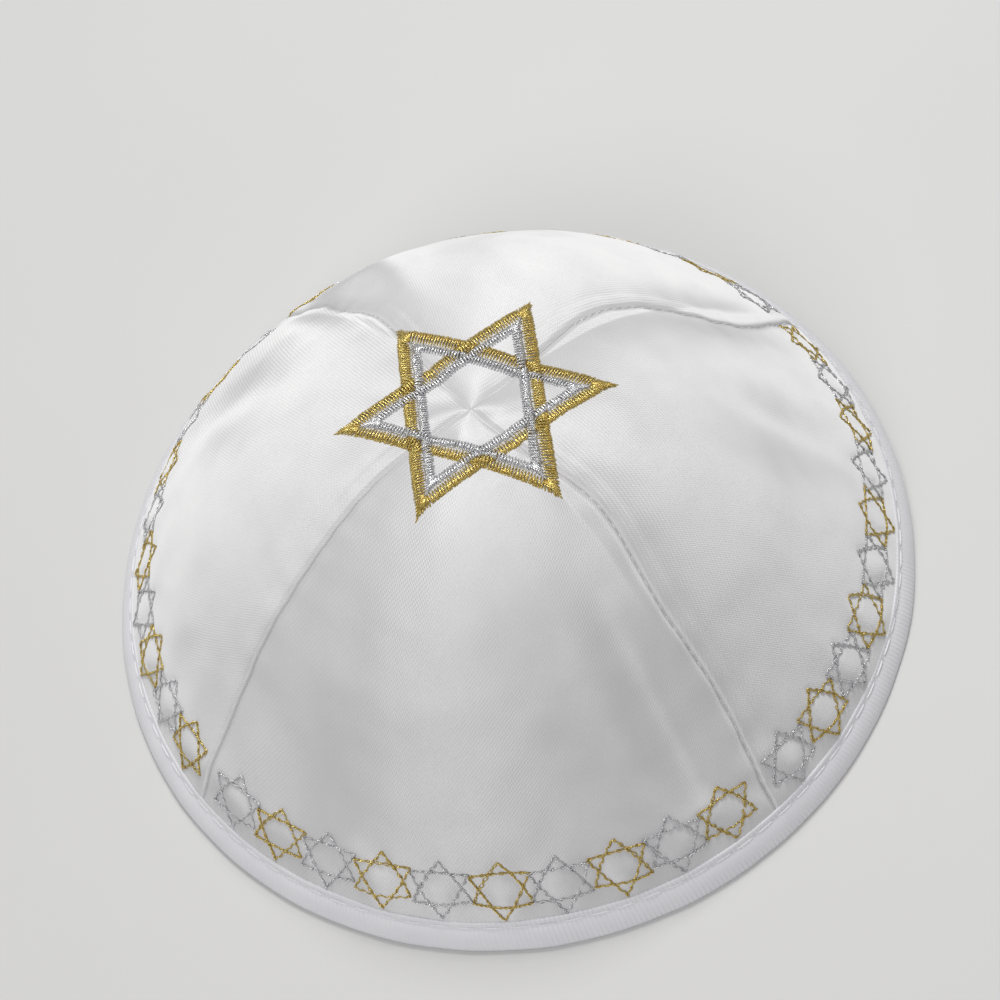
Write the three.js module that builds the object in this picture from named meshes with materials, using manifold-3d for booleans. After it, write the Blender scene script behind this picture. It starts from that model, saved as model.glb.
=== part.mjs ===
// A skullcap sewn from four satin panels, in millimetres.
// +Z is up. The rim rests on z = 0 and the dome's axis is x = 0, y = 0.
// The front panel faces -Y, and the four seams run near the diagonals.
import * as THREE from "three";
import { mergeVertices } from "three/addons/utils/BufferGeometryUtils.js";
import Module from "manifold-3d";

// The line where the outside of the panels would meet the table, and how steeply they reach it.
const rimRadius = 83.5;
const rimOval = 1.1; // the rim is this much wider to the front and back than to the sides
const rimLeanDegrees = 58;

const panelWall = 1.2; // satin with its seam allowances
const pieceGap = 0.3; // between any two pieces
const crownTip = 1.2; // radius at which the four panel tips stop

const bindingWidth = 6.5; // up the outside of the cap
const bindingTurnUnder = 5.5; // up the inside
const bindingWall = 1;
const grooveGap = 0.45; // round the panels' edge, wider than elsewhere because both are faceted
const bindingSwell = 0.25; // the folded tape is a little fuller at mid height

const starRadius = 27.3; // centre to each of the six tips
const starTurnDegrees = 12;
const starBand = 4.4; // width of each embroidered side, the two colours together
const starThickness = 1;

// Rows and columns of the faceted walls.
const panelRows = 16;
const panelColumns = 16;
const bindingSegments = 72;
const starColumns = 72;
const starRows = 3;

// Height of the panels' outside over the rim, from the crown outwards.
const domeProfile = [
  { radius: 0, height: 61 },
  { radius: 20, height: 60 },
  { radius: 36, height: 54.8 },
  { radius: 52, height: 42.3 },
  { radius: 66, height: 25.4 },
  { radius: 76, height: 12.3 },
  { radius: 79.5, height: 6.4 },
  { radius: rimRadius, height: 0 },
];

// Each panel fills out between its seams by its bulge.
const panels = [
  { name: "front_panel", azimuth: -90, bulge: 1.2 },
  { name: "right_panel", azimuth: 0, bulge: 1.6 },
  { name: "back_panel", azimuth: 90, bulge: 2.6 },
  { name: "left_panel", azimuth: 180, bulge: 0.6 },
];

// Each seam wanders off its diagonal: sideways by its bow near the crown, and by its sway lower down.
const seams = [
  { name: "front left", azimuth: -135, bow: 0.6, sway: -0.7 },
  { name: "front right", azimuth: -45, bow: 4.2, sway: 2.5 },
  { name: "back right", azimuth: 45, bow: 3.2, sway: -5 },
  { name: "back left", azimuth: 135, bow: -2.5, sway: -3.8 },
];
const bowAt = { radius: 34, spread: 15 };
const swayAt = { radius: 63, spread: 13 };
const seamTuck = { depth: 1, spread: 5 }; // the stitches draw the cloth in along each seam

// Hollows and ridges pressed into the cloth: a positive depth sinks, a negative one stands out.
const folds = [
  { name: "hollow beside the front right seam", azimuth: -53, radius: 60, depth: 3, across: 7, along: 17 },
  { name: "low hollow at the front left", azimuth: -118, radius: 68, depth: 1.4, across: 12, along: 8 },
  { name: "hollow of the right panel", azimuth: 12, radius: 60, depth: 1.5, across: 9, along: 14 },
  { name: "hollow in the back right seam", azimuth: 42, radius: 58, depth: 2, across: 6, along: 13 },
  { name: "ridge beside the back left seam", azimuth: 118, radius: 50, depth: -1.5, across: 7, along: 14 },
  { name: "valley of the back left seam", azimuth: 131, radius: 54, depth: 2.2, across: 6, along: 18 },
  { name: "hollow of the left panel", azimuth: 163, radius: 56, depth: 1.8, across: 11, along: 14 },
  { name: "low hollow at the left", azimuth: -147, radius: 70, depth: 1, across: 9, along: 8 },
];
const foldsEnd = { start: 0.84, stop: 0.95 }; // they fade out above the binding, as shares of the rim

const satinColour = 0xf3f1f5;
const bindingColour = 0xe7e7ef;
const goldColour = 0xc79f4b;

const radians = THREE.MathUtils.degToRad;
const smooth = THREE.MathUtils.smoothstep;
const rimSlope = Math.tan(radians(rimLeanDegrees));
const quarterTurn = Math.PI / 2;

const bell = (distance, spread) => Math.exp(-((distance / spread) ** 2));

// The angle from one azimuth to another, between -PI and PI.
function turnBetween(from, to) {
  return Math.atan2(Math.sin(to - from), Math.cos(to - from));
}

const rimRadiusAt = (azimuth) => rimRadius - rimOval * Math.cos(2 * azimuth);

// A smooth curve through the profile's rows, level at the crown and at the rim's slope at its end.
function profileHeight(radius) {
  const last = domeProfile.length - 1;
  let row = 0;
  while (row < last - 1 && radius > domeProfile[row + 1].radius) row++;
  const slopeAt = (i) => {
    if (i === 0) return 0;
    if (i === last) return -rimSlope;
    const before = domeProfile[i - 1];
    const after = domeProfile[i + 1];
    return (after.height - before.height) / (after.radius - before.radius);
  };
  const from = domeProfile[row];
  const to = domeProfile[row + 1];
  const length = to.radius - from.radius;
  const t = (radius - from.radius) / length;
  const ease = t * t * (3 - 2 * t);
  const startTangent = t * (1 - t) ** 2 * length * slopeAt(row);
  const endTangent = t * t * (t - 1) * length * slopeAt(row + 1);
  return from.height + ease * (to.height - from.height) + startTangent + endTangent;
}

function seamAzimuth(seam, radius) {
  const bow = seam.bow * bell(radius - bowAt.radius, bowAt.spread);
  const sway = seam.sway * bell(radius - swayAt.radius, swayAt.spread);
  return radians(seam.azimuth) + (bow + sway) / radius;
}

function foldDepth(fold, radius, azimuth) {
  const across = turnBetween(radians(fold.azimuth), azimuth) * radius;
  return fold.depth * bell(across, fold.across) * bell(radius - fold.radius, fold.along);
}

// Height of the cloth's outside without the seams' own tucks.
function clothHeight(radius, azimuth) {
  const share = radius / rimRadiusAt(azimuth);
  const even = share * rimRadius;
  const fade = 1 - smooth(share, foldsEnd.start, foldsEnd.stop);
  let lift = 0;
  for (const panel of panels) {
    const across = turnBetween(radians(panel.azimuth), azimuth) / (quarterTurn / 2);
    lift += panel.bulge * Math.max(0, 1 - across * across) * Math.sin(Math.PI * share);
  }
  for (const fold of folds) lift -= foldDepth(fold, even, azimuth);
  return profileHeight(even) + lift * fade;
}

function tuckedHeight(radius, azimuth) {
  const share = radius / rimRadiusAt(azimuth);
  const fade = 1 - smooth(share, foldsEnd.start, foldsEnd.stop);
  let tuck = 0;
  for (const seam of seams) {
    const away = turnBetween(seamAzimuth(seam, share * rimRadius), azimuth) * radius;
    tuck = Math.max(tuck, seamTuck.depth * bell(away, seamTuck.spread));
  }
  return clothHeight(radius, azimuth) - tuck * fade * Math.sin(Math.PI * share);
}

function polarPoint(radius, azimuth, height) {
  return new THREE.Vector3(radius * Math.cos(azimuth), radius * Math.sin(azimuth), height);
}

// The way out of the cloth at a place, from two short steps along it.
function outward(radius, azimuth) {
  const step = 0.05;
  const turn = step / radius;
  const here = polarPoint(radius, azimuth, tuckedHeight(radius, azimuth));
  const out = polarPoint(radius + step, azimuth, tuckedHeight(radius + step, azimuth)).sub(here);
  const round = polarPoint(radius, azimuth + turn, tuckedHeight(radius, azimuth + turn)).sub(here);
  return out.cross(round).normalize();
}

function geometryFrom(points, faces) {
  const geometry = new THREE.BufferGeometry().setFromPoints(points);
  geometry.setIndex(faces);
  geometry.computeVertexNormals();
  return geometry;
}

// A wall with an upper and a lower skin. Each skin is a grid of rows and columns, and a ring's
// last column joins its first.
function wallGeometry(rows, columns, isRing, upperAt, lowerAt) {
  const across = isRing ? columns : columns + 1;
  const points = [];
  for (const pointAt of [upperAt, lowerAt])
    for (let row = 0; row <= rows; row++)
      for (let column = 0; column < across; column++)
        points.push(pointAt(row / rows, column / columns));
  const lowerStart = (rows + 1) * across;
  const index = (row, column) => row * across + (column % across);
  const faces = [];
  const quad = (a, b, c, d) => faces.push(a, b, c, a, c, d);
  for (let row = 0; row < rows; row++)
    for (let column = 0; column < columns; column++) {
      const [a, b] = [index(row, column), index(row + 1, column)];
      const [d, c] = [index(row, column + 1), index(row + 1, column + 1)];
      quad(a, b, c, d);
      quad(d + lowerStart, c + lowerStart, b + lowerStart, a + lowerStart);
    }
  for (let column = 0; column < columns; column++) {
    const [a, b] = [index(0, column), index(0, column + 1)];
    const [c, d] = [index(rows, column), index(rows, column + 1)];
    quad(a, b, b + lowerStart, a + lowerStart);
    quad(d, c, c + lowerStart, d + lowerStart);
  }
  if (!isRing)
    for (let row = 0; row < rows; row++) {
      const [a, b] = [index(row, 0), index(row + 1, 0)];
      const [c, d] = [index(row, columns), index(row + 1, columns)];
      quad(b, a, a + lowerStart, b + lowerStart);
      quad(c, d, d + lowerStart, c + lowerStart);
    }
  return geometryFrom(points, faces);
}

// One gore, from its tip at the crown to its lower edge inside the binding.
function panelGeometry(panel) {
  const nearest = (side) => {
    const wanted = radians(panel.azimuth) + (side * quarterTurn) / 2;
    return seams.find((seam) => Math.abs(turnBetween(radians(seam.azimuth), wanted)) < 1e-6);
  };
  const [startSeam, endSeam] = [nearest(-1), nearest(1)];
  const tipShare = crownTip / rimRadius;
  const edgeShare = 1 - (bindingWall + pieceGap) / rimSlope / rimRadius;
  const crowding = 1.25; // rows lie closer together towards the steep rim

  const placeAt = (down, across) => {
    const eased = Math.sin(down * crowding) / Math.sin(crowding);
    const share = THREE.MathUtils.lerp(tipShare, edgeShare, eased);
    const even = share * rimRadius;
    const halfGap = pieceGap / 2 / even;
    const start = seamAzimuth(startSeam, even) + halfGap;
    const width = turnBetween(start, seamAzimuth(endSeam, even) - halfGap);
    const azimuth = start + across * width;
    return { radius: share * rimRadiusAt(azimuth), azimuth };
  };
  const outside = (down, across) => {
    const { radius, azimuth } = placeAt(down, across);
    return polarPoint(radius, azimuth, tuckedHeight(radius, azimuth));
  };
  const inside = (down, across) => {
    const { radius, azimuth } = placeAt(down, across);
    const depth = outward(radius, azimuth).multiplyScalar(panelWall);
    // Side edges stay in the seam's own plane, so that neighbours keep their gap.
    const sideways = new THREE.Vector3(-Math.sin(azimuth), Math.cos(azimuth), 0);
    depth.addScaledVector(sideways, -depth.dot(sideways));
    // The tip ends in an upright cut and the lower edge in a level one.
    if (down === 0) depth.set(0, 0, panelWall);
    if (down === 1) depth.copy(polarPoint(panelWall / Math.sin(radians(rimLeanDegrees)), azimuth, 0));
    return outside(down, across).sub(depth);
  };
  return wallGeometry(panelRows, panelColumns, false, outside, inside);
}

// Tape folded round the panels' lower edge: a U with a groove for them, standing on a flat fold.
function bindingGeometry() {
  const lean = radians(rimLeanDegrees);
  const [outFace, outGroove] = [grooveGap + bindingWall, grooveGap];
  const [inGroove, inFace] = [-panelWall - grooveGap, -panelWall - grooveGap - bindingWall];
  // A point at a distance out from the cloth's outside, at a height or a length up the wall.
  const atHeight = (out, height) => [out / Math.sin(lean) - height / Math.tan(lean), height];
  const upWall = (out, length) => [
    out * Math.sin(lean) - length * Math.cos(lean),
    out * Math.cos(lean) + length * Math.sin(lean),
  ];
  const section = [
    atHeight(outFace, 0),
    upWall(outFace + bindingSwell, bindingWidth / 2),
    upWall(outFace, bindingWidth),
    upWall(outGroove, bindingWidth),
    atHeight(outGroove, bindingWall),
    atHeight(inGroove, bindingWall),
    upWall(inGroove, bindingTurnUnder),
    upWall(inFace, bindingTurnUnder),
    atHeight(inFace, 0),
  ];
  const points = [];
  const faces = [];
  for (let segment = 0; segment < bindingSegments; segment++) {
    const azimuth = (segment / bindingSegments) * 2 * Math.PI;
    for (const [out, height] of section) points.push(polarPoint(rimRadiusAt(azimuth) + out, azimuth, height));
    const next = (segment + 1) % bindingSegments;
    section.forEach((_, i) => {
      const j = (i + 1) % section.length;
      const [a, b] = [segment * section.length + i, next * section.length + i];
      const [d, c] = [segment * section.length + j, next * section.length + j];
      faces.push(a, b, c, a, c, d);
    });
  }
  return geometryFrom(points, faces);
}

const wasm = await Module();
wasm.setup();

function solidFrom(geometry) {
  const bare = geometry.clone();
  bare.deleteAttribute("normal");
  bare.deleteAttribute("uv");
  const merged = mergeVertices(bare);
  const vertProperties = new Float32Array(merged.attributes.position.array);
  const triVerts = new Uint32Array(merged.index.array);
  return new wasm.Manifold(new wasm.Mesh({ numProp: 3, vertProperties, triVerts }));
}

function geometryOf(solid) {
  const mesh = solid.getMesh();
  const geometry = new THREE.BufferGeometry();
  geometry.setAttribute("position", new THREE.BufferAttribute(mesh.vertProperties, 3));
  geometry.setIndex(new THREE.BufferAttribute(mesh.triVerts, 1));
  geometry.computeVertexNormals();
  return geometry;
}

// Two crossed triangles of embroidery in one raised layer over the crown, open in the middle and
// inside each of the six points.
function starGeometry() {
  const turn = radians(starTurnDegrees);
  const sixth = Math.PI / 3;
  const outerLine = starRadius / 2; // from the centre to each outer side
  const innerLine = outerLine - starBand;
  const placeAt = (out, around) => {
    const angle = around * 2 * Math.PI;
    const fromTip = Math.abs(angle - Math.round(angle / sixth) * sixth);
    const outline = outerLine / Math.cos(sixth - fromTip);
    const hole = innerLine / Math.cos(sixth / 2 - fromTip);
    return { radius: THREE.MathUtils.lerp(hole, outline, out), azimuth: angle + turn };
  };
  const layerAt = (lift) => (out, around) => {
    const { radius, azimuth } = placeAt(out, around);
    return polarPoint(radius, azimuth, clothHeight(radius, azimuth) + lift);
  };
  let solid = solidFrom(
    wallGeometry(starRows, starColumns, true, layerAt(pieceGap + starThickness), layerAt(pieceGap)),
  );

  const holeTip = 2 * innerLine;
  const holeHalfWidth = (holeTip - outerLine) * Math.tan(sixth / 2);
  const hole = new THREE.Shape([
    new THREE.Vector2(outerLine, -holeHalfWidth),
    new THREE.Vector2(holeTip, 0),
    new THREE.Vector2(outerLine, holeHalfWidth),
  ]);
  const cutter = new THREE.ExtrudeGeometry(hole, { depth: 2 * domeProfile[0].height, bevelEnabled: false });
  for (let point = 0; point < 6; point++)
    solid = solid.subtract(solidFrom(cutter.clone().rotateZ(turn + point * sixth)));
  return geometryOf(solid);
}

function pieceMesh(name, geometry, color, roughness, metalness) {
  const mesh = new THREE.Mesh(geometry, new THREE.MeshStandardMaterial({ color, roughness, metalness }));
  mesh.name = name;
  return mesh;
}

const skullcap = new THREE.Group();
for (const panel of panels) skullcap.add(pieceMesh(panel.name, panelGeometry(panel), satinColour, 0.4, 0));
skullcap.add(pieceMesh("rim_binding", bindingGeometry(), bindingColour, 0.45, 0));
skullcap.add(pieceMesh("crown_star", starGeometry(), goldColour, 0.4, 0.8));

export default skullcap;
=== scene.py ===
# White satin kippah: four sewn gores, a bound rim, an embroidered star over the crown and a ring of
# small stitched stars. Shapes are worked out in millimetres and written in metres.
import math
import random
import bpy
import numpy as np
from mathutils import Matrix, Vector, noise


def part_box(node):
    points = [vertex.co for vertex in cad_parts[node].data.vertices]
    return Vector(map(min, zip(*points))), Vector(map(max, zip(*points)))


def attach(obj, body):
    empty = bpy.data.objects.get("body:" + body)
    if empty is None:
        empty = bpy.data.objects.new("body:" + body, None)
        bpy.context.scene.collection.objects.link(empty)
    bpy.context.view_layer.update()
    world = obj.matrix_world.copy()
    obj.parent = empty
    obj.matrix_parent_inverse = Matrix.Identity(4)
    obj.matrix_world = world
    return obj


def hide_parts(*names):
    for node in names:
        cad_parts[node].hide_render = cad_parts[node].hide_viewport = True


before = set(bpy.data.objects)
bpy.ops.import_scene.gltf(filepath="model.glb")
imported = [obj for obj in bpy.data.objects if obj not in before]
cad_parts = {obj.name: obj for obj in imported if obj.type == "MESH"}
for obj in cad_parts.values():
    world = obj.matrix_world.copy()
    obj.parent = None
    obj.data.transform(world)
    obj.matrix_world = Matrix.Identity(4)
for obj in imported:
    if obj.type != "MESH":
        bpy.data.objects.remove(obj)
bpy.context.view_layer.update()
mm = 0.001
fullTurn = 2 * math.pi
body = "root"


# ---- small tools

def hexColour(text):
    # sRGB hex to the linear colour that nodes work in
    parts = [int(text[i:i + 2], 16) / 255 for i in (1, 3, 5)]
    linear = [c / 12.92 if c <= 0.04045 else ((c + 0.055) / 1.055) ** 2.4 for c in parts]
    return (*linear, 1.0)


def bell(distance, spread):
    return np.exp(-(distance / spread) ** 2)


def smooth(value, start, stop):
    t = np.clip((value - start) / (stop - start), 0, 1)
    return t * t * (3 - 2 * t)


def turnBetween(start, end):
    return np.arctan2(np.sin(end - start), np.cos(end - start))


def noiseAt(points, size, shift):
    # soft noise between -1 and 1 at each point, the same on every run
    offset = Vector((shift, 2.3 * shift, -1.7 * shift))
    flat = points.reshape(-1, 3) / size
    values = [noise.noise(Vector(p) + offset) for p in flat]
    return np.array(values).reshape(points.shape[:-1])


# ---- the shape of the dome, which every piece follows

rimLow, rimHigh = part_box("rim_binding")
cap = {
    "bindingStandsOut": 0.9,  # the tape's outer face over the cloth
    "leanDegrees": 58,  # how steeply the cloth reaches the rim
    "clothWall": 0.8,
    "tipRadius": 0.02,  # the gores run in almost to the centre
    "crownLean": 0.14, "leanReach": 38.0,  # the crown sags to the back and stands up to the front
    "shoulder": 0.5,
    "foldsFade": (0.84, 0.95),  # shares of the rim over which folds die out
}
lean = math.radians(cap["leanDegrees"])
halfWide = rimHigh.x / mm
halfDeep = rimHigh.y / mm
capRadius = (halfWide + halfDeep) / 2 - cap["bindingStandsOut"] / math.sin(lean)
rimOval = (halfDeep - halfWide) / 2
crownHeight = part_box("front_panel")[1].z / mm

# height of the cloth from the crown outwards, as shares of the rim radius and the crown height
domeProfile = [
    {"out": 0.00, "up": 1.000},
    {"out": 0.24, "up": 0.984},
    {"out": 0.43, "up": 0.898},
    {"out": 0.62, "up": 0.693},
    {"out": 0.79, "up": 0.416},
    {"out": 0.91, "up": 0.202},
    {"out": 0.952, "up": 0.108},
    {"out": 1.00, "up": 0.000},
]
profileOut = np.array([row["out"] for row in domeProfile]) * capRadius
profileUp = np.array([row["up"] for row in domeProfile]) * crownHeight
profileSlope = np.zeros(len(domeProfile))
profileSlope[1:-1] = (profileUp[2:] - profileUp[:-2]) / (profileOut[2:] - profileOut[:-2])
profileSlope[-1] = -math.tan(lean)

panels = [
    {"name": "frontPanel", "node": "front_panel", "azimuth": -90, "bulge": 1.2},
    {"name": "rightPanel", "node": "right_panel", "azimuth": 0, "bulge": 1.6},
    {"name": "backPanel", "node": "back_panel", "azimuth": 90, "bulge": 2.6},
    {"name": "leftPanel", "node": "left_panel", "azimuth": 180, "bulge": 0.6},
]
# raised is the side that the seam allowance is pressed to: 1 is counter-clockwise seen from above
seams = [
    {"name": "front left", "azimuth": -135, "bow": 0.6, "sway": -0.7, "raised": -1, "stitchLift": -0.12},
    {"name": "front right", "azimuth": -45, "bow": 4.2, "sway": 2.5, "raised": 1, "stitchLift": -0.05},
    {"name": "back right", "azimuth": 45, "bow": 3.2, "sway": -5.0, "raised": 1, "stitchLift": 0.12},
    {"name": "back left", "azimuth": 135, "bow": -2.5, "sway": -3.8, "raised": -1, "stitchLift": -0.05},
]
seamShape = {
    "bowRadius": 34, "bowSpread": 15,
    "swayRadius": 63, "swaySpread": 13,
    "tuckDepth": 0.35, "tuckSpread": 5.0,  # the stitches draw the cloth in along the seam
    "grooveDepth": 0.4, "grooveSpread": 0.6,
    "ridgeHeight": 0.09, "ridgeWidth": 4.2,
    "puckerHeight": 0.12, "puckerLength": 6.5, "puckerReach": 5.0,
}
# hollows have a positive depth and ridges a negative one
folds = [
    {"name": "hollow beside the front right seam", "azimuth": -53, "radius": 60, "depth": 3.0, "across": 7, "along": 17},
    {"name": "low hollow at the front left", "azimuth": -118, "radius": 68, "depth": 1.4, "across": 12, "along": 8},
    {"name": "hollow of the right panel", "azimuth": 12, "radius": 60, "depth": 1.5, "across": 9, "along": 14},
    {"name": "hollow in the back right seam", "azimuth": 42, "radius": 58, "depth": 0.6, "across": 6, "along": 13},
    {"name": "ridge beside the back left seam", "azimuth": 118, "radius": 50, "depth": -1.5, "across": 7, "along": 14},
    {"name": "valley of the back left seam", "azimuth": 131, "radius": 54, "depth": 2.2, "across": 6, "along": 15},
    {"name": "hollow of the left panel", "azimuth": 163, "radius": 56, "depth": 1.8, "across": 11, "along": 14},
    {"name": "low hollow at the left", "azimuth": -147, "radius": 70, "depth": 1.0, "across": 9, "along": 8},
]


def rimRadiusAt(azimuth):
    return capRadius - rimOval * np.cos(2 * azimuth)


def profileHeight(radius):
    # smooth curve through the profile's rows
    row = np.clip(np.searchsorted(profileOut, radius) - 1, 0, len(profileOut) - 2)
    length = profileOut[row + 1] - profileOut[row]
    t = (radius - profileOut[row]) / length
    ease = t * t * (3 - 2 * t)
    rise = ease * (profileUp[row + 1] - profileUp[row])
    bend = t * (1 - t) ** 2 * profileSlope[row] + t * t * (t - 1) * profileSlope[row + 1]
    return profileUp[row] + rise + bend * length


def seamAzimuth(seam, radius):
    bow = seam["bow"] * bell(radius - seamShape["bowRadius"], seamShape["bowSpread"])
    sway = seam["sway"] * bell(radius - seamShape["swayRadius"], seamShape["swaySpread"])
    return math.radians(seam["azimuth"]) + (bow + sway) / np.maximum(radius, 1)


def broadHeight(radius, azimuth):
    # the dome with its panels' bulges, its folds and the tucks along its seams
    share = radius / rimRadiusAt(azimuth)
    even = share * capRadius
    fade = 1 - smooth(share, *cap["foldsFade"])
    lift = np.zeros_like(share)
    for panel in panels:
        across = turnBetween(math.radians(panel["azimuth"]), azimuth) / (math.pi / 4)
        lift += panel["bulge"] * np.maximum(0, 1 - across ** 2) * np.sin(math.pi * share)
    lift -= cap["crownLean"] * radius * np.sin(azimuth) * bell(radius, cap["leanReach"])
    lift += cap["shoulder"] * bell(radius - 27, 12)
    for fold in folds:
        across = turnBetween(math.radians(fold["azimuth"]), azimuth) * even
        lift -= fold["depth"] * bell(across, fold["across"]) * bell(even - fold["radius"], fold["along"])
    tuck = np.zeros_like(share)
    for seam in seams:
        away = turnBetween(seamAzimuth(seam, even), azimuth) * radius
        tuck = np.maximum(tuck, seamShape["tuckDepth"] * bell(away, seamShape["tuckSpread"]))
    lift -= tuck * np.sin(math.pi * share) * smooth(radius, 4, 26)
    return profileHeight(even) + lift * fade


def polarPoints(radius, azimuth, height):
    return np.stack([radius * np.cos(azimuth), radius * np.sin(azimuth), height], axis=-1)


undulation = {
    "height": 0.35, "size": 19.0,  # slow waves of the loose cloth
    "fineHeight": 0.12, "fineSize": 6.5,
    "rimPucker": 0.7,  # the tape and the ring of stars draw the cloth in
    "crownPucker": 0.85, "crownReach": 14.0,  # the cloth gathers inside the crown star
}


def fineLift(radius, azimuth, points):
    # small relief along the way out: seam grooves, allowances, puckers and slow waves
    share = radius / rimRadiusAt(azimuth)
    even = share * capRadius
    rimFade = 1 - 0.75 * smooth(share, 0.93, 0.975)
    lift = undulation["height"] * noiseAt(points, undulation["size"], 4.1)
    lift += undulation["fineHeight"] * noiseAt(points, undulation["fineSize"], 9.7)
    lift += undulation["rimPucker"] * noiseAt(points, 7.5, 6.1) * bell(share - 0.92, 0.05)
    reach = bell(radius, undulation["crownReach"])
    lift += undulation["crownPucker"] * reach * noiseAt(points, 5.0, 2.2)
    for seam in seams:
        away = turnBetween(seamAzimuth(seam, even), azimuth) * radius
        near = np.cos(np.clip(turnBetween(math.radians(seam["azimuth"]), azimuth) * 1.6, -1.57, 1.57)) > 0.2
        inward = smooth(radius, 4, 20)
        lift -= seamShape["grooveDepth"] * bell(away, seamShape["grooveSpread"]) * near * (0.35 + 0.65 * inward)
        side = away * seam["raised"]
        ridge = smooth(side, 0.1, 0.9) * (1 - smooth(side, seamShape["ridgeWidth"] - 1.4, seamShape["ridgeWidth"]))
        lift += seamShape["ridgeHeight"] * ridge * inward * near
        wave = np.sin(fullTurn * even / seamShape["puckerLength"] + 2.2 * np.sin(even / 11 + seam["azimuth"]))
        lift += seamShape["puckerHeight"] * wave * np.exp(-np.abs(away) / seamShape["puckerReach"]) * inward * near
    return lift * rimFade


def capSurface(radius, azimuth):
    # points of the cloth's outside and the way out of it, for arrays of places
    step = 0.05
    base = polarPoints(radius, azimuth, broadHeight(radius, azimuth))
    further = polarPoints(radius + step, azimuth, broadHeight(radius + step, azimuth)) - base
    turn = step / np.maximum(radius, 0.2)
    round_ = polarPoints(radius, azimuth + turn, broadHeight(radius, azimuth + turn)) - base
    out = np.cross(further, round_)
    out /= np.linalg.norm(out, axis=-1, keepdims=True)
    return base + out * fineLift(radius, azimuth, base)[..., None], out


# ---- meshes

def meshObject(name, points, faces, material, uv=None, smoothShade=True):
    mesh = bpy.data.meshes.new(name)
    mesh.from_pydata((np.asarray(points) * mm).tolist(), [], np.asarray(faces).tolist())
    if uv is not None:
        layer = mesh.uv_layers.new(name="clothGrain")
        loops = np.zeros(len(mesh.loops), dtype=np.int32)
        mesh.loops.foreach_get("vertex_index", loops)
        layer.uv.foreach_set("vector", np.asarray(uv, dtype=np.float32)[loops].ravel())
    mesh.materials.append(material)
    if smoothShade:
        mesh.shade_smooth()
    mesh.update()
    made = bpy.data.objects.new(name, mesh)
    bpy.context.scene.collection.objects.link(made)
    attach(made, body)
    return made


def gridFaces(rows, columns, start=0, wrapColumns=False, wrapRows=False, flip=False):
    # quads of a grid of points stored row by row
    row = np.arange(rows if wrapRows else rows - 1)
    column = np.arange(columns if wrapColumns else columns - 1)
    r, c = np.meshgrid(row, column, indexing="ij")
    nextRow, nextColumn = (r + 1) % rows, (c + 1) % columns
    quads = [r * columns + c, nextRow * columns + c, nextRow * columns + nextColumn, r * columns + nextColumn]
    if flip:
        quads.reverse()
    return np.stack(quads, axis=-1).reshape(-1, 4) + start


class ThreadBundle:
    # many short threads in one mesh, each a closed tube along its own points
    def __init__(self, sides):
        self.sides = sides
        self.points = []
        self.faces = []
        self.uv = []
        self.count = 0

    def add(self, path, radius, ups):
        # path and ups are arrays of points and of the way out of the cloth; radius is a number or an array
        path = np.asarray(path, float)
        rings = len(path)
        radius = np.broadcast_to(radius, rings)
        along = np.gradient(path, axis=0)
        along /= np.linalg.norm(along, axis=1, keepdims=True)
        side = np.cross(along, ups)
        side /= np.linalg.norm(side, axis=1, keepdims=True)
        up = np.cross(side, along)
        angle = np.arange(self.sides) / self.sides * fullTurn
        ring = np.cos(angle)[None, :, None] * side[:, None] + np.sin(angle)[None, :, None] * up[:, None]
        points = path[:, None] + ring * radius[:, None, None]
        faces = gridFaces(rings, self.sides, self.count, wrapColumns=True)
        caps = []
        last = self.count + (rings - 1) * self.sides
        caps.append([self.count + i for i in range(self.sides)])
        caps.append([last + i for i in reversed(range(self.sides))])
        length = np.concatenate([[0], np.cumsum(np.linalg.norm(np.diff(path, axis=0), axis=1))])
        u = np.repeat(length, self.sides) / 10
        v = np.tile(np.arange(self.sides) / self.sides, rings)
        self.points.append(points.reshape(-1, 3))
        self.faces.extend(faces.tolist())
        self.faces.extend(caps)
        self.uv.append(np.stack([u, v], axis=1))
        self.count += rings * self.sides

    def build(self, name, material):
        points = np.concatenate(self.points)
        mesh = bpy.data.meshes.new(name)
        mesh.from_pydata((points * mm).tolist(), [], self.faces)
        layer = mesh.uv_layers.new(name="clothGrain")
        loops = np.zeros(len(mesh.loops), dtype=np.int32)
        mesh.loops.foreach_get("vertex_index", loops)
        layer.uv.foreach_set("vector", np.concatenate(self.uv).astype(np.float32)[loops].ravel())
        mesh.materials.append(material)
        mesh.shade_smooth()
        made = bpy.data.objects.new(name, mesh)
        bpy.context.scene.collection.objects.link(made)
        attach(made, body)
        return made


# ---- materials

def newMaterial(name):
    material = bpy.data.materials.new(name)
    material.use_nodes = True
    tree = material.node_tree
    tree.nodes.clear()
    return material, tree


def addNode(tree, kind, settings=None, inputs=None):
    # inputs are numbers and colours to set, or sockets to link, by name or by index
    node = tree.nodes.new(kind)
    for key, value in (settings or {}).items():
        setattr(node, key, value)
    for key, value in (inputs or {}).items():
        if isinstance(value, bpy.types.NodeSocket):
            tree.links.new(value, node.inputs[key])
        else:
            node.inputs[key].default_value = value
    return node


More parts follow.
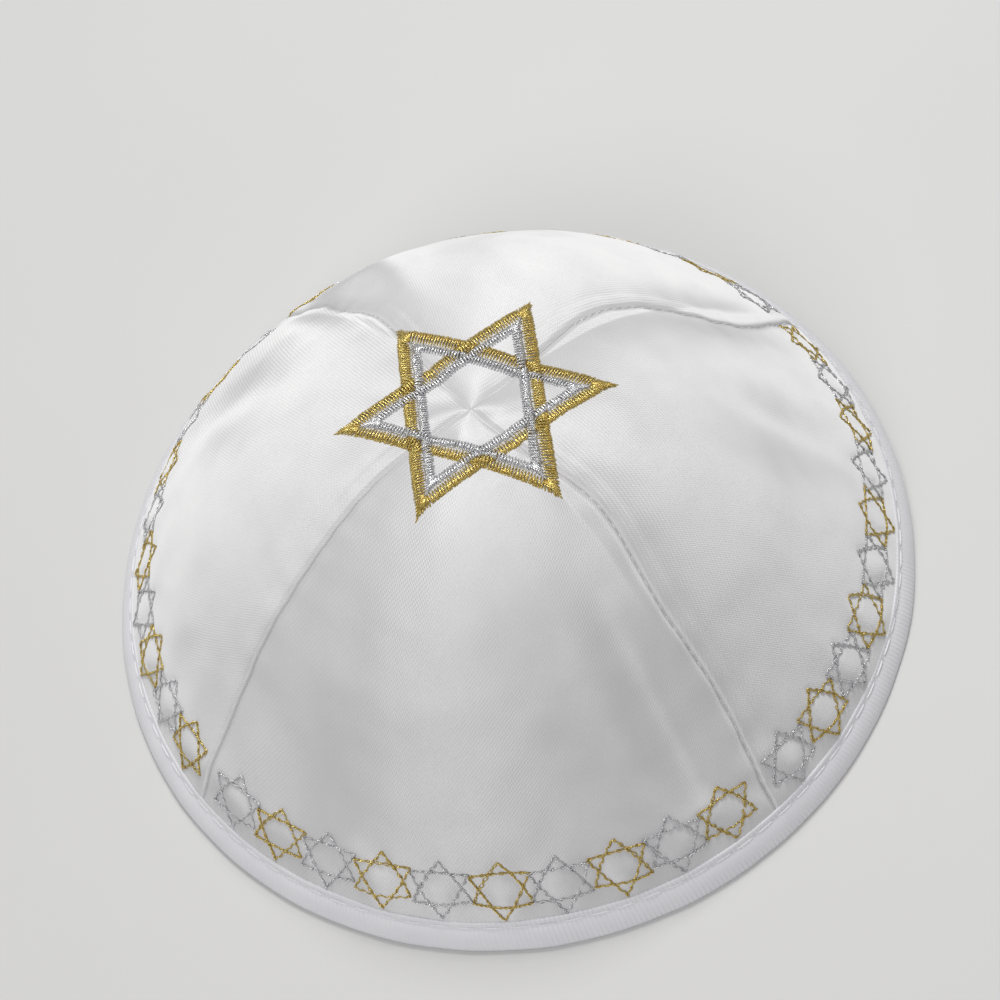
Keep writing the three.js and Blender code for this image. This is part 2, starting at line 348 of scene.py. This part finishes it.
def satinMaterial():
    # polyester satin, woven with long floats: a bright silky band wherever the cloth turns to the
    # light, over a dull grey-lavender shade, with the fine diagonal line of the weave
    values = {
        "bright": "#E7E7E7", "shade": "#DBDADC",
        "roughness": 0.65, "stretch": 0.98, "mirrorShare": 0.24,
        "twillSpacing": 0.6, "twillDegrees": 38, "twillBump": 0.11,
        "floatSpacing": 0.46, "floatDegrees": -20,
        "slubSize": 0.3,
    }
    material, tree = newMaterial("wovenPolyesterSatin")
    grain = addNode(tree, "ShaderNodeUVMap", {"uv_map": "clothGrain"})
    turned = addNode(tree, "ShaderNodeMapping", {}, {
        "Vector": grain.outputs["UV"], "Rotation": (0, 0, math.radians(values["twillDegrees"]))})
    # the grain map has one unit for 100 mm, and a wave of scale 1 repeats each pi / 10 units
    perMillimetre = 100 * math.pi / 10
    waves = addNode(tree, "ShaderNodeTexWave", {"wave_profile": "SIN", "bands_direction": "X"}, {
        "Vector": turned.outputs[0], "Scale": perMillimetre / values["twillSpacing"] / 1.0,
        "Distortion": 1.2, "Detail": 2.0, "Detail Scale": 1.5})
    slubs = addNode(tree, "ShaderNodeTexNoise", {"noise_dimensions": "2D"}, {
        "Vector": grain.outputs["UV"], "Scale": 100 / values["slubSize"], "Detail": 2.0})
    clouds = addNode(tree, "ShaderNodeTexNoise", {"noise_dimensions": "2D"}, {
        "Vector": grain.outputs["UV"], "Scale": 100 / 14.0, "Detail": 3.0})
    crossed = addNode(tree, "ShaderNodeMapping", {}, {
        "Vector": grain.outputs["UV"], "Rotation": (0, 0, math.radians(values["floatDegrees"]))})
    floatEnds = addNode(tree, "ShaderNodeTexWave", {"wave_profile": "SIN", "bands_direction": "X"}, {
        "Vector": crossed.outputs[0], "Scale": perMillimetre / values["floatSpacing"],
        "Distortion": 1.5, "Detail": 2.0, "Detail Scale": 1.5})
    yarns = addNode(tree, "ShaderNodeMix", {"data_type": "FLOAT"}, {
        "Factor": 0.4, "A": waves.outputs["Fac"], "B": floatEnds.outputs["Fac"]})
    weave = addNode(tree, "ShaderNodeMix", {"data_type": "FLOAT"}, {
        "Factor": 0.55, "A": yarns.outputs["Result"], "B": slubs.outputs["Fac"]})
    tint = addNode(tree, "ShaderNodeMix", {"data_type": "RGBA"}, {
        "Factor": clouds.outputs["Fac"], "A": hexColour(values["shade"]), "B": hexColour(values["bright"])})
    lines = addNode(tree, "ShaderNodeMix", {"data_type": "RGBA", "blend_type": "MULTIPLY"}, {
        "Factor": 0.12, "A": tint.outputs["Result"], "B": weave.outputs["Result"]})
    rough = addNode(tree, "ShaderNodeMapRange", {}, {
        "Value": weave.outputs["Result"], "To Min": values["roughness"] + 0.1, "To Max": values["roughness"] - 0.06})
    bump = addNode(tree, "ShaderNodeBump", {}, {
        "Height": weave.outputs["Result"], "Strength": 0.5, "Distance": values["twillBump"] * mm})
    floats = addNode(tree, "ShaderNodeTangent", {"direction_type": "UV_MAP", "uv_map": "clothGrain"})
    shader = addNode(tree, "ShaderNodeBsdfPrincipled", {}, {
        "Base Color": lines.outputs["Result"], "Roughness": rough.outputs["Result"], "IOR": 1.6, "Metallic": values["mirrorShare"],
        "Anisotropic": values["stretch"], "Anisotropic Rotation": 0.25, "Tangent": floats.outputs["Tangent"],
        "Specular IOR Level": 1.0,
        "Normal": bump.outputs["Normal"]})
    addNode(tree, "ShaderNodeOutputMaterial", {}, {"Surface": shader.outputs["BSDF"]})
    return material


def tapeMaterial():
    # satin tape cut on the bias: smoother than the panels, with fine ribs slanting across it
    values = {"colour": "#E6E6EA", "ribSpacing": 0.95, "ribDegrees": 10, "roughness": 0.4, "ribBump": 0.09}
    material, tree = newMaterial("biasCutSatinTape")
    grain = addNode(tree, "ShaderNodeUVMap", {"uv_map": "clothGrain"})
    turned = addNode(tree, "ShaderNodeMapping", {}, {
        "Vector": grain.outputs["UV"], "Rotation": (0, 0, math.radians(values["ribDegrees"]))})
    ribs = addNode(tree, "ShaderNodeTexWave", {"bands_direction": "X"}, {
        "Vector": turned.outputs[0], "Scale": 100 * math.pi / 10 / values["ribSpacing"],
        "Distortion": 0.5, "Detail": 1.0})
    clouds = addNode(tree, "ShaderNodeTexNoise", {"noise_dimensions": "2D"}, {
        "Vector": grain.outputs["UV"], "Scale": 100 / 9.0, "Detail": 2.0})
    tint = addNode(tree, "ShaderNodeMix", {"data_type": "RGBA"}, {
        "Factor": clouds.outputs["Fac"], "A": hexColour("#DDDDE2"), "B": hexColour(values["colour"])})
    bump = addNode(tree, "ShaderNodeBump", {}, {
        "Height": ribs.outputs["Fac"], "Strength": 0.8, "Distance": values["ribBump"] * mm})
    shader = addNode(tree, "ShaderNodeBsdfPrincipled", {}, {
        "Base Color": tint.outputs["Result"], "Roughness": values["roughness"], "IOR": 1.5,
        "Sheen Weight": 0.1, "Specular IOR Level": 0.5, "Normal": bump.outputs["Normal"]})
    addNode(tree, "ShaderNodeOutputMaterial", {}, {"Surface": shader.outputs["BSDF"]})
    return material


def metalThread(name, paintedGapShade, light, roughness):
    # foil wound round a thread: bright flecks of the foil's own colour and painted shade, deep between the turns, that
    # change with each turn of the foil
    values = {"foilTurn": 0.45, "foilDegrees": 50, "foilBump": 0.05}
    material, tree = newMaterial(name)
    grain = addNode(tree, "ShaderNodeUVMap", {"uv_map": "clothGrain"})
    place = addNode(tree, "ShaderNodeTexCoord")
    turned = addNode(tree, "ShaderNodeMapping", {}, {
        "Vector": grain.outputs["UV"], "Rotation": (0, 0, math.radians(values["foilDegrees"]))})
    foil = addNode(tree, "ShaderNodeTexWave", {"bands_direction": "X"}, {
        "Vector": turned.outputs[0], "Scale": 10 * math.pi / 10 / values["foilTurn"], "Distortion": 1.5})
    flecks = addNode(tree, "ShaderNodeTexNoise", {}, {
        "Vector": place.outputs["Object"], "Scale": 1 / (0.4 * mm), "Detail": 2.0})
    both = addNode(tree, "ShaderNodeMix", {"data_type": "FLOAT"}, {
        "Factor": 0.55, "A": foil.outputs["Fac"], "B": flecks.outputs["Fac"]})
    paintedShadeRamp = addNode(tree, "ShaderNodeMapRange", {}, {
        "Value": both.outputs["Result"], "From Min": 0.3, "From Max": 0.7})
    # base colour runs from painted shade (the dark colour) to the foil's own colour (the light one)
    tint = addNode(tree, "ShaderNodeMix", {"data_type": "RGBA"}, {
        "Factor": paintedShadeRamp.outputs["Result"], "A": hexColour(paintedGapShade), "B": hexColour(light)})
    bump = addNode(tree, "ShaderNodeBump", {}, {
        "Height": both.outputs["Result"], "Strength": 0.8, "Distance": values["foilBump"] * mm})
    shader = addNode(tree, "ShaderNodeBsdfPrincipled", {}, {
        "Base Color": tint.outputs["Result"], "Metallic": 0.85, "Roughness": roughness,
        "Normal": bump.outputs["Normal"]})
    addNode(tree, "ShaderNodeOutputMaterial", {}, {"Surface": shader.outputs["BSDF"]})
    return material


def cottonThread():
    # spun polyester sewing thread: dull white with a fine twist
    values = {"colour": "#F2F2F6", "twist": 0.5}
    material, tree = newMaterial("spunSewingThread")
    grain = addNode(tree, "ShaderNodeUVMap", {"uv_map": "clothGrain"})
    turned = addNode(tree, "ShaderNodeMapping", {}, {
        "Vector": grain.outputs["UV"], "Rotation": (0, 0, math.radians(45))})
    twist = addNode(tree, "ShaderNodeTexWave", {"bands_direction": "X"}, {
        "Vector": turned.outputs[0], "Scale": 10 * math.pi / 10 / values["twist"]})
    bump = addNode(tree, "ShaderNodeBump", {}, {
        "Height": twist.outputs["Fac"], "Strength": 0.5, "Distance": 0.05 * mm})
    shader = addNode(tree, "ShaderNodeBsdfPrincipled", {}, {
        "Base Color": hexColour(values["colour"]), "Roughness": 0.5, "IOR": 1.5,
        "Sheen Weight": 0.2, "Normal": bump.outputs["Normal"]})
    addNode(tree, "ShaderNodeOutputMaterial", {}, {"Surface": shader.outputs["BSDF"]})
    return material


def floorMaterial():
    # matt painted board: even and pale, so that the white cloth stands out by its shade alone
    material, tree = newMaterial("mattPaintedBoard")
    place = addNode(tree, "ShaderNodeTexCoord")
    mottle = addNode(tree, "ShaderNodeTexNoise", {}, {
        "Vector": place.outputs["Object"], "Scale": 14.0, "Detail": 3.0})
    tint = addNode(tree, "ShaderNodeMix", {"data_type": "RGBA"}, {
        "Factor": mottle.outputs["Fac"], "A": hexColour("#CDCDCC"), "B": hexColour("#D1D1D0")})
    shader = addNode(tree, "ShaderNodeBsdfPrincipled", {}, {
        "Base Color": tint.outputs["Result"], "Roughness": 0.55})
    addNode(tree, "ShaderNodeOutputMaterial", {}, {"Surface": shader.outputs["BSDF"]})
    return material


satin = satinMaterial()
tape = tapeMaterial()
# the first colour of each thread is painted shade for the gaps between the foil's turns, the second is the foil's own
# colour
gold = metalThread("goldFoilThread", "#8E6618", "#FFEC94", 0.27)
silver = metalThread("silverFoilThread", "#A6A7AC", "#FFFFFF", 0.28)
whiteThread = cottonThread()
print("materials made")


# ---- the camera and the light

studio = {
    "lens": 100.3, "distance": 590.7, "azimuth": 17.6, "elevation": 57.7, "rollDegrees": -14.8,
    "aim": (-4.1, 16.5, 0.0),
    "floorSize": 12.0,
    "skyStrength": 0.44,
}


lamps = [
    {"name": "softboxBehind", "place": (-0.03, 0.76, 1.2), "size": 0.5, "watts": 11.0, "colour": "#FFFFFD"},
    {"name": "softboxFront", "place": (-0.3, -0.95, 0.95), "size": 0.6, "watts": 5.4, "colour": "#FFFDFC"},
]


def makeCamera():
    azimuth, elevation = math.radians(studio["azimuth"]), math.radians(studio["elevation"])
    back = Vector((math.sin(azimuth) * math.cos(elevation), -math.cos(azimuth) * math.cos(elevation),
                   math.sin(elevation)))
    level = back.to_track_quat("Z", "Y")
    data = bpy.data.cameras.new("camera")
    data.lens = studio["lens"]
    data.sensor_width = 36
    data.clip_start, data.clip_end = 0.01, 20
    camera = bpy.data.objects.new("camera", data)
    camera.rotation_mode = "QUATERNION"
    camera.rotation_quaternion = level @ Matrix.Rotation(math.radians(studio["rollDegrees"]), 3, "Z").to_quaternion()
    camera.location = Vector(studio["aim"]) * mm + back * studio["distance"] * mm
    bpy.context.scene.collection.objects.link(camera)
    bpy.context.scene.camera = camera


def makeFloor():
    size = studio["floorSize"] / 2
    mesh = bpy.data.meshes.new("floor")
    mesh.from_pydata([(-size, -size, 0), (size, -size, 0), (size, size, 0), (-size, size, 0)], [], [(0, 1, 2, 3)])
    mesh.materials.append(floorMaterial())
    floor = bpy.data.objects.new("floor", mesh)
    bpy.context.scene.collection.objects.link(floor)


def makeLight(name, place, size, watts, colour):
    data = bpy.data.lights.new(name, "AREA")
    data.shape = "DISK"
    data.size = size
    data.energy = watts
    data.color = hexColour(colour)[:3]
    light = bpy.data.objects.new(name, data)
    light.location = place
    light.rotation_euler = (-Vector(place)).to_track_quat("-Z", "Y").to_euler()
    bpy.context.scene.collection.objects.link(light)


def makeStudio():
    for row in lamps:
        makeLight(row["name"], row["place"], row["size"], row["watts"], row["colour"])
    world = bpy.data.worlds.new("paleRoom")
    world.use_nodes = True
    tree = world.node_tree
    tree.nodes.clear()
    sky = addNode(tree, "ShaderNodeBackground", {}, {
        "Color": hexColour("#F4F4F6"), "Strength": studio["skyStrength"]})
    addNode(tree, "ShaderNodeOutputWorld", {}, {"Surface": sky.outputs["Background"]})
    bpy.context.scene.world = world
    bpy.context.scene.view_settings.view_transform = "Standard"


makeCamera()
makeFloor()
makeStudio()
print("camera, floor and light made")


# ---- the ring of small stars: where each one lies

ring = {
    "perPanel": 10, "pitchDegrees": 8.62, "height": 11.7,  # centre of each star over the rim
    "radius": 6.7, "stretchUp": 0.98,
    "threadRadius": 0.15, "stitch": 1.9, "wobble": 0.16, "lift": 0.14, "bow": 0.4,
    "sink": 0.22, "sinkSpread": 0.45, "puff": 0.2,
}


def ringPlaces():
    # azimuth, colour and a steady random number for each small star
    places = []
    for panel in panels:
        for k in range(ring["perPanel"]):
            turn = (k - (ring["perPanel"] - 1) / 2) * ring["pitchDegrees"]
            azimuth = math.radians(panel["azimuth"] + turn)
            places.append({"azimuth": azimuth, "isGold": k % 2 == 1, "seed": len(places)})
    return places


def ringRadius(azimuth):
    return rimRadiusAt(azimuth) - ring["height"] / math.tan(lean)


def starCorner(k, tilt):
    # corner k of a small star in its own plane: across and up the slope
    angle = math.pi / 2 + k * math.pi / 3 + tilt
    return np.array([math.cos(angle) * ring["radius"], math.sin(angle) * ring["radius"] * ring["stretchUp"]])


def onRing(azimuth, across, up):
    # polar place of a point in a small star's plane
    radius = ringRadius(azimuth) - up * math.cos(lean)
    return radius, azimuth + across / radius


def starTilt(seed):
    return 0.07 * math.sin(12.9 * seed + 1)


def ringRelief(radius, azimuth):
    # the thread draws the cloth in along each line and lets it puff up between them
    relief = np.zeros_like(radius)
    for place in ringPlaces():
        middle = ringRadius(place["azimuth"])
        across = turnBetween(place["azimuth"], azimuth) * radius
        up = (middle - radius) / math.cos(lean)
        near = np.hypot(across, up) < ring["radius"] * 1.35
        if not near.any():
            continue
        here = np.stack([across[near], up[near]], axis=-1)
        nearest = np.full(len(here), 99.0)
        tilt = starTilt(place["seed"])
        for k in range(6):
            a, b = starCorner(k, tilt), starCorner(k + 2, tilt)
            t = np.clip((here - a) @ (b - a) / ((b - a) @ (b - a)), 0, 1)
            nearest = np.minimum(nearest, np.linalg.norm(here - a - t[:, None] * (b - a), axis=1))
        inside = bell(np.linalg.norm(here, axis=1), ring["radius"] * 0.5)
        relief[near] += ring["puff"] * inside - ring["sink"] * bell(nearest, ring["sinkSpread"])
    return relief


# ---- satin gores

gore = {"rows": 132, "columns": 132, "crowding": 1.2, "edgeHeight": 1.6, "allowance": 0.45, "allowanceWidth": 7.0,
        "flat": (0.134, 0.112), "flatArea": 0.0084}  # one gore as it is cut, in metres


def makeGore(index):
    panel = panels[index]
    startSeam, endSeam = seams[index], seams[(index + 1) % len(seams)]
    edgeShare = 1 - gore["edgeHeight"] / math.tan(lean) / capRadius
    down = np.sin(np.linspace(0, 1, gore["rows"]) * gore["crowding"]) / math.sin(gore["crowding"])
    share = cap["tipRadius"] / capRadius + down * (edgeShare - cap["tipRadius"] / capRadius)
    across = np.linspace(0, 1, gore["columns"])
    even = share[:, None] * capRadius
    start = seamAzimuth(startSeam, even)
    azimuth = start + across[None, :] * turnBetween(start, seamAzimuth(endSeam, even))
    radius = share[:, None] * rimRadiusAt(azimuth)
    points, out = capSurface(radius, azimuth)
    points = points + out * ringRelief(radius, azimuth)[..., None]
    # flat cloth: across is measured from the panel's middle line, down along the slope
    runs = np.linalg.norm(np.diff(points[:, gore["columns"] // 2], axis=0), axis=1)
    slope = np.concatenate([[0], np.cumsum(runs)])
    sideways = turnBetween(math.radians(panel["azimuth"]), azimuth) * radius
    uv = np.stack([sideways / 100, np.broadcast_to(-slope[:, None] / 100, sideways.shape)], axis=-1)
    toSeam = np.minimum(turnBetween(start, azimuth), turnBetween(azimuth, seamAzimuth(endSeam, even))) * radius
    turnedIn = gore["allowance"] * (1 - smooth(toSeam, gore["allowanceWidth"] - 0.8, gore["allowanceWidth"]))
    inner = points - out * (cap["clothWall"] + turnedIn)[..., None]
    rows, columns = gore["rows"], gore["columns"]
    count = rows * columns
    grid = np.arange(count).reshape(rows, columns)
    border = np.concatenate([grid[0, :-1], grid[:-1, -1], grid[-1, :0:-1], grid[:0:-1, 0]])
    following = np.roll(border, -1)
    rimFaces = np.stack([border, following, following + count, border + count], axis=1)
    faces = np.concatenate([gridFaces(rows, columns), gridFaces(rows, columns, count, flip=True), rimFaces])
    allPoints = np.concatenate([points.reshape(-1, 3), inner.reshape(-1, 3)])
    allUv = np.concatenate([uv.reshape(-1, 2), uv.reshape(-1, 2)])
    made = meshObject(panel["name"], allPoints, faces, satin, allUv)
    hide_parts(panel["node"])


for number in range(len(panels)):
    makeGore(number)
print("satin gores made")


# ---- bias tape round the rim

binding = {
    "segments": 720, "width": 6.9, "inside": 5.4, "edgeLip": 0.38, "body": 0.75, "foldRadius": 0.9,
    "stitchRow": 1.35, "stitchSink": 0.22, "wave": 0.16, "widthWave": 0.3, "tapeWall": 0.3,
    "flat": (0.0135, 0.53),  # the tape opened out, in metres
}


def bindingSection():
    # around the folded tape: how far out from the cloth, and how far up the slope, from the outer
    # upper edge down to the fold and up the inside
    lip, body_ = binding["edgeLip"], binding["body"]
    width, inside = binding["width"], binding["inside"]
    backFace = -cap["clothWall"] - 0.9
    return [
        {"out": -0.15, "up": width - 0.05},
        {"out": lip * 0.75, "up": width},
        {"out": lip, "up": width - 0.35},
        {"out": lip * 0.95, "up": width - 0.8},
        {"out": lip * 0.45, "up": width - binding["stitchRow"]},
        {"out": lip * 1.1, "up": width - 2.0},
        {"out": body_ * 0.92, "up": width - 3.0},
        {"out": body_, "up": width - 4.2},
        {"out": body_ * 0.95, "up": 1.5},
    ], [
        {"out": backFace * 0.95, "up": 1.6},
        {"out": backFace - 0.1, "up": inside - 2.2},
        {"out": backFace, "up": inside - 0.6},
        {"out": -cap["clothWall"] - 0.35, "up": inside},
        {"out": -cap["clothWall"] + 0.2, "up": inside - 0.2},
    ]


def makeBinding():
    outer, inner = bindingSection()
    azimuth = np.linspace(0, fullTurn, binding["segments"], endpoint=False)
    rim = rimRadiusAt(azimuth)
    circle = polarPoints(np.full_like(azimuth, capRadius), azimuth, np.zeros_like(azimuth))
    wave = binding["wave"] * noiseAt(circle, 9.0, 5.5)
    slack = binding["widthWave"] * noiseAt(circle, 22.0, 7.7)

    def placed(row, depthShare):
        up = row["up"] + slack * depthShare
        out = row["out"] + wave * (1 if row["out"] > 0.3 else 0.2)
        r = rim + out * math.sin(lean) - up * math.cos(lean)
        z = out * math.cos(lean) + up * math.sin(lean)
        return polarPoints(r, azimuth, z)

    rows = [placed(row, 1.0) for row in outer]
    # the fold is a half round between the two faces, and touches the table
    lowOuter, lowInner = outer[-1], inner[0]
    for step in range(1, 8):
        angle = math.pi * step / 8
        mix = (1 - math.cos(angle)) / 2
        out = lowOuter["out"] * (1 - mix) + lowInner["out"] * mix
        r = rim + (out + wave * (1 - mix)) * math.sin(lean)
        base = 1.25 * (1 - math.sin(angle)) ** 1.0
        z = np.maximum(0.02, base + 0 * wave)
        shift = -base / math.tan(lean)
        rows.append(polarPoints(r + shift, azimuth, z))
    rows += [placed(row, 0.3) for row in inner]
    face = np.stack(rows)
    # the tape has a thickness, laid on the side that faces the cloth
    way = np.gradient(face, axis=0)
    wayOut = way[..., 0] * np.cos(azimuth) + way[..., 1] * np.sin(azimuth)
    size = np.hypot(wayOut, way[..., 2])
    back = face + binding["tapeWall"] * polarPoints(way[..., 2] / size, azimuth, -wayOut / size)
    points = np.concatenate([face, back[::-1]])
    count = len(points)
    lengths = np.concatenate([[0], np.cumsum(np.linalg.norm(np.diff(points[:, 0], axis=0), axis=1))])
    u = np.abs(np.arange(binding["segments"]) / binding["segments"] * 2 - 1) * math.pi * capRadius / 100
    uv = np.stack([np.broadcast_to(u, (count, binding["segments"])),
                   np.broadcast_to(lengths[:, None] / 100, (count, binding["segments"]))], axis=-1)
    faces = gridFaces(count, binding["segments"], wrapColumns=True, wrapRows=True)
    made = meshObject("rimBinding", points.reshape(-1, 3), faces, tape, uv.reshape(-1, 2))
    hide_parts("rim_binding")


makeBinding()
print("binding made")


# ---- machine stitches

topstitch = {"pitch": 5.35, "length": 4.6, "threadRadius": 0.2, "depth": 0.15}


def threadOverCloth(bundle, places, lifts, radius):
    # places are rows of radius and azimuth on the cap
    places = np.asarray(places, float)
    points, out = capSurface(places[:, 0], places[:, 1])
    bundle.add(points + out * np.asarray(lifts)[:, None], radius, out)


def makeTopstitch():
    bundle = ThreadBundle(6)
    count = round(fullTurn * capRadius / topstitch["pitch"])
    up = binding["width"] - binding["stitchRow"]
    r = random.Random(3)
    for k in range(count):
        middle = k / count * fullTurn
        half = topstitch["length"] / 2 * (1 + 0.07 * (r.random() - 0.5)) / capRadius
        t = np.linspace(-1, 1, 9)
        azimuth = middle + t * half
        rise = binding["edgeLip"] * 0.45 + 0.12 * (1 - t ** 4) - 0.3 * np.abs(t) ** 8
        wobble = up + 0.06 * np.sin(azimuth * 37) + 0.08 * (r.random() - 0.5)
        rim = rimRadiusAt(azimuth)
        radius = rim + rise * math.sin(lean) - wobble * math.cos(lean)
        height = rise * math.cos(lean) + wobble * math.sin(lean)
        path = polarPoints(radius, azimuth, height)
        ups = polarPoints(np.full_like(azimuth, math.sin(lean)), azimuth, np.full_like(azimuth, math.cos(lean)))
        bundle.add(path, topstitch["threadRadius"] * (1 - 0.45 * np.abs(t) ** 6), ups)
    made = bundle.build("bindingTopstitch", whiteThread)


seamStitch = {"pitch": 2.7, "length": 2.0, "threadRadius": 0.12, "firstRadius": 29.0}


def makeSeamStitches():
    bundle = ThreadBundle(5)
    for seam in seams:
        radius = seamStitch["firstRadius"]
        while radius < capRadius - 6:
            step = seamStitch["pitch"] * math.cos(math.atan(1.0))
            t = np.linspace(-0.5, 0.5, 5)
            along = radius + t * seamStitch["length"] * 0.7
            azimuth = seamAzimuth(seam, along)
            lifts = seam["stitchLift"] - 0.35 * np.abs(2 * t) ** 4
            threadOverCloth(bundle, np.stack([along, azimuth], axis=1), lifts, seamStitch["threadRadius"])
            radius += step
    made = bundle.build("seamStitches", whiteThread)


makeTopstitch()
makeSeamStitches()
print("machine stitches made")


# ---- the embroidered star over the crown

crownStar = {
    "radius": 26.9, "turnDegrees": 12.05, "centre": (0.9, 0.5),
    "goldWidth": 2.15, "silverWidth": 1.7, "gap": 0.45,
    "pitch": 0.31, "threadRadius": 0.165, "pile": 0.42, "layer": 0.34, "jitter": 0.22,
    "spike": 1.2, "spikeReach": 1.7,  # the last stitches run out past each tip
}


def crownPlace(xy):
    # star-plane points to polar places on the cap
    x = xy[..., 0] + crownStar["centre"][0]
    y = xy[..., 1] + crownStar["centre"][1]
    return np.hypot(x, y), np.arctan2(y, x)


def triangleCorner(which, k, inset):
    # corner k of triangle 0 or 1, with its sides moved in by inset
    angle = math.radians(crownStar["turnDegrees"] + which * 60 + k * 120)
    reach = crownStar["radius"] - 2 * inset
    return np.array([math.cos(angle), math.sin(angle)]) * reach


def bandCover(which, xy, nearInset, farInset):
    # 1 where the band of a triangle covers the place, falling off at its edges
    level = np.full(xy.shape[:-1], -99.0)
    for k in range(3):
        angle = math.radians(crownStar["turnDegrees"] + which * 60 + k * 120 + 60)
        level = np.maximum(level, xy[..., 0] * math.cos(angle) + xy[..., 1] * math.sin(angle))
    inset = crownStar["radius"] / 2 - level
    return smooth(inset, nearInset - 0.25, nearInset + 0.35) * (1 - smooth(inset, farInset - 0.35, farInset + 0.25))


goldBand = (0.0, crownStar["goldWidth"])
silverBand = (crownStar["goldWidth"] + crownStar["gap"],
              crownStar["goldWidth"] + crownStar["gap"] + crownStar["silverWidth"])
# the order of sewing: each band lies on those before it
bands = [(0, goldBand), (1, goldBand), (0, silverBand), (1, silverBand)]


def liftUnder(order, xy):
    lift = np.zeros(xy.shape[:-1])
    for which, (near, far) in bands[:order]:
        lift += crownStar["layer"] * bandCover(which, xy, near, far)
    return lift


def sewBand(bundle, order, r):
    # zigzag of satin stitches round one triangle, fanned at its corners
    which, (near, far) = bands[order]
    width = far - near
    pitch = crownStar["pitch"]
    for k in range(3):
        outerStart, outerEnd = triangleCorner(which, k, near), triangleCorner(which, k + 1, near)
        innerStart, innerEnd = triangleCorner(which, k, far), triangleCorner(which, k + 1, far)
        length = np.linalg.norm(outerEnd - outerStart)
        along = (outerEnd - outerStart) / length
        reach = width * math.sqrt(3)  # the outer side runs this far past the inner corner
        count = int(length / pitch)
        fan = 0.35  # the inner ends of a corner's fan spread over this much

        def innerAt(s):
            # inner end for a stitch whose outer end lies s along the outer side
            if s < reach:
                t = s / reach
                return innerStart + along * fan * t
            if s > length - reach:
                t = (length - s) / reach
                return innerEnd - along * fan * t
            t = (s - reach) / (length - 2 * reach)
            return innerStart + along * (fan + t * (np.linalg.norm(innerEnd - innerStart) - 2 * fan))

        for i in range(count):
            s = (i + 0.5) * pitch
            if min(s, length - s) < reach and i % 2:
                continue
            outer = outerStart + along * (s + (r.random() - 0.5) * 0.2)
            inner = innerAt(min(max(s + (i % 2 - 0.5) * pitch * 1.3, 0), length))
            cross = (inner - outer) / np.linalg.norm(inner - outer)
            fromTip = min(s, length - s)
            spike = crownStar["spike"] * max(0, 1 - fromTip / crownStar["spikeReach"]) * r.random()
            outer = outer - cross * (r.random() * crownStar["jitter"] + spike)
            inner = inner + cross * (r.random() * crownStar["jitter"])
            t = np.linspace(0, 1, 7)
            xy = outer + (inner - outer) * t[:, None]
            arch = np.sin(math.pi * t) ** 0.6
            lift = liftUnder(order, xy) + crownStar["pile"] * arch * (0.85 + 0.35 * r.random()) - 0.12
            radius, azimuth = crownPlace(xy)
            points, out = capSurface(radius, azimuth)
            thick = crownStar["threadRadius"] * (0.9 + 0.25 * r.random())
            bundle.add(points + out * lift[:, None], thick, out)


def makeCrownStar():
    r = random.Random(11)
    goldBundle, silverBundle = ThreadBundle(6), ThreadBundle(6)
    for order in range(4):
        sewBand(goldBundle if order < 2 else silverBundle, order, r)
    made = goldBundle.build("crownStarGold", gold)
    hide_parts("crown_star")
    made = silverBundle.build("crownStarSilver", silver)


makeCrownStar()
print("crown star made")


# ---- the small stars: running stitches of twisted foil thread

def makeRing():
    bundles = {True: ThreadBundle(5), False: ThreadBundle(5)}
    for place in ringPlaces():
        r = random.Random(100 + place["seed"])
        tilt = starTilt(place["seed"])
        bundle = bundles[place["isGold"]]
        for k in range(6):
            a, b = starCorner(k, tilt), starCorner(k + 2, tilt)
            a = a + np.array([r.random() - 0.5, r.random() - 0.5]) * 0.5
            b = b + np.array([r.random() - 0.5, r.random() - 0.5]) * 0.5
            length = np.linalg.norm(b - a)
            across = np.array([-(b - a)[1], (b - a)[0]]) / length
            for strand in (0, 1):
                count = 41
                t = np.linspace(0, 1, count)
                phase = r.random() * fullTurn
                twist = fullTurn * t * length / ring["stitch"] + strand * math.pi + phase
                bow = -(ring["bow"] + (r.random() - 0.5) * 0.5) * np.sin(math.pi * t)
                off = ring["wobble"] * np.sin(twist) + bow + (strand - 0.5) * 0.12
                xy = a + (b - a) * t[:, None] + across * off[:, None]
                radius, azimuth = onRing(place["azimuth"], xy[:, 0], xy[:, 1])
                lift = ring["lift"] + 0.13 * np.cos(twist) - ring["sink"] * 0.6
                points, out = capSurface(radius, azimuth)
                # each stitch is full in its middle and pinched where the needle went in
                full = 0.6 + 0.55 * np.abs(np.sin(math.pi * t * length / ring["stitch"] + phase))
                bundle.add(points + out * lift[:, None], ring["threadRadius"] * full, out)
    made = bundles[True].build("smallStarsGold", gold)
    made = bundles[False].build("smallStarsSilver", silver)


makeRing()
print("ring of small stars made")
